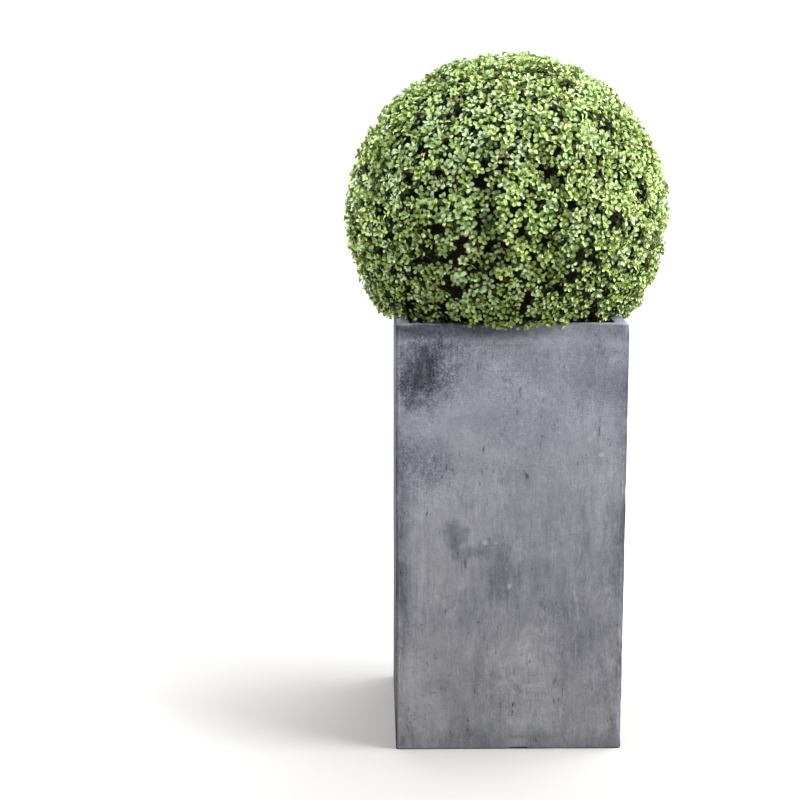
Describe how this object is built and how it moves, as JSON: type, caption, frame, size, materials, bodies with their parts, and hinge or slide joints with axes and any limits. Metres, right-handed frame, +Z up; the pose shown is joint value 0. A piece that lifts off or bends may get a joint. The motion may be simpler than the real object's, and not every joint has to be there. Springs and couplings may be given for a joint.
{
  "type": "artificial box topiary ball in a tall square planter",
  "caption": "Clipped ball of small-leaved box foliage on a short stem, standing in a tall square stone-look planter.",
  "frame": {"origin": "centre of the planter's underside, on the ground", "axes": "+Z up through the middle of the planter and the ball; the planter's front, with the small weep slot, faces -Y; +X to the right seen from the front"},
  "size_m": [0.6016, 0.6047, 1.281],
  "materials": {
    "planter": "matt, mottled bluish grey stone-look composite, with fine brush and trowel marks",
    "potting_fill": "matt, dark crumbly bark mix",
    "stem": "matt bark",
    "foliage": "satin green leaves, lighter at the tips, on brown twigs"
  },
  "bodies": {
    "root": {"planter": "planter", "potting_fill": "potting_fill", "stem": "stem", "foliage_ball": "foliage"}
  },
  "joints": []
}
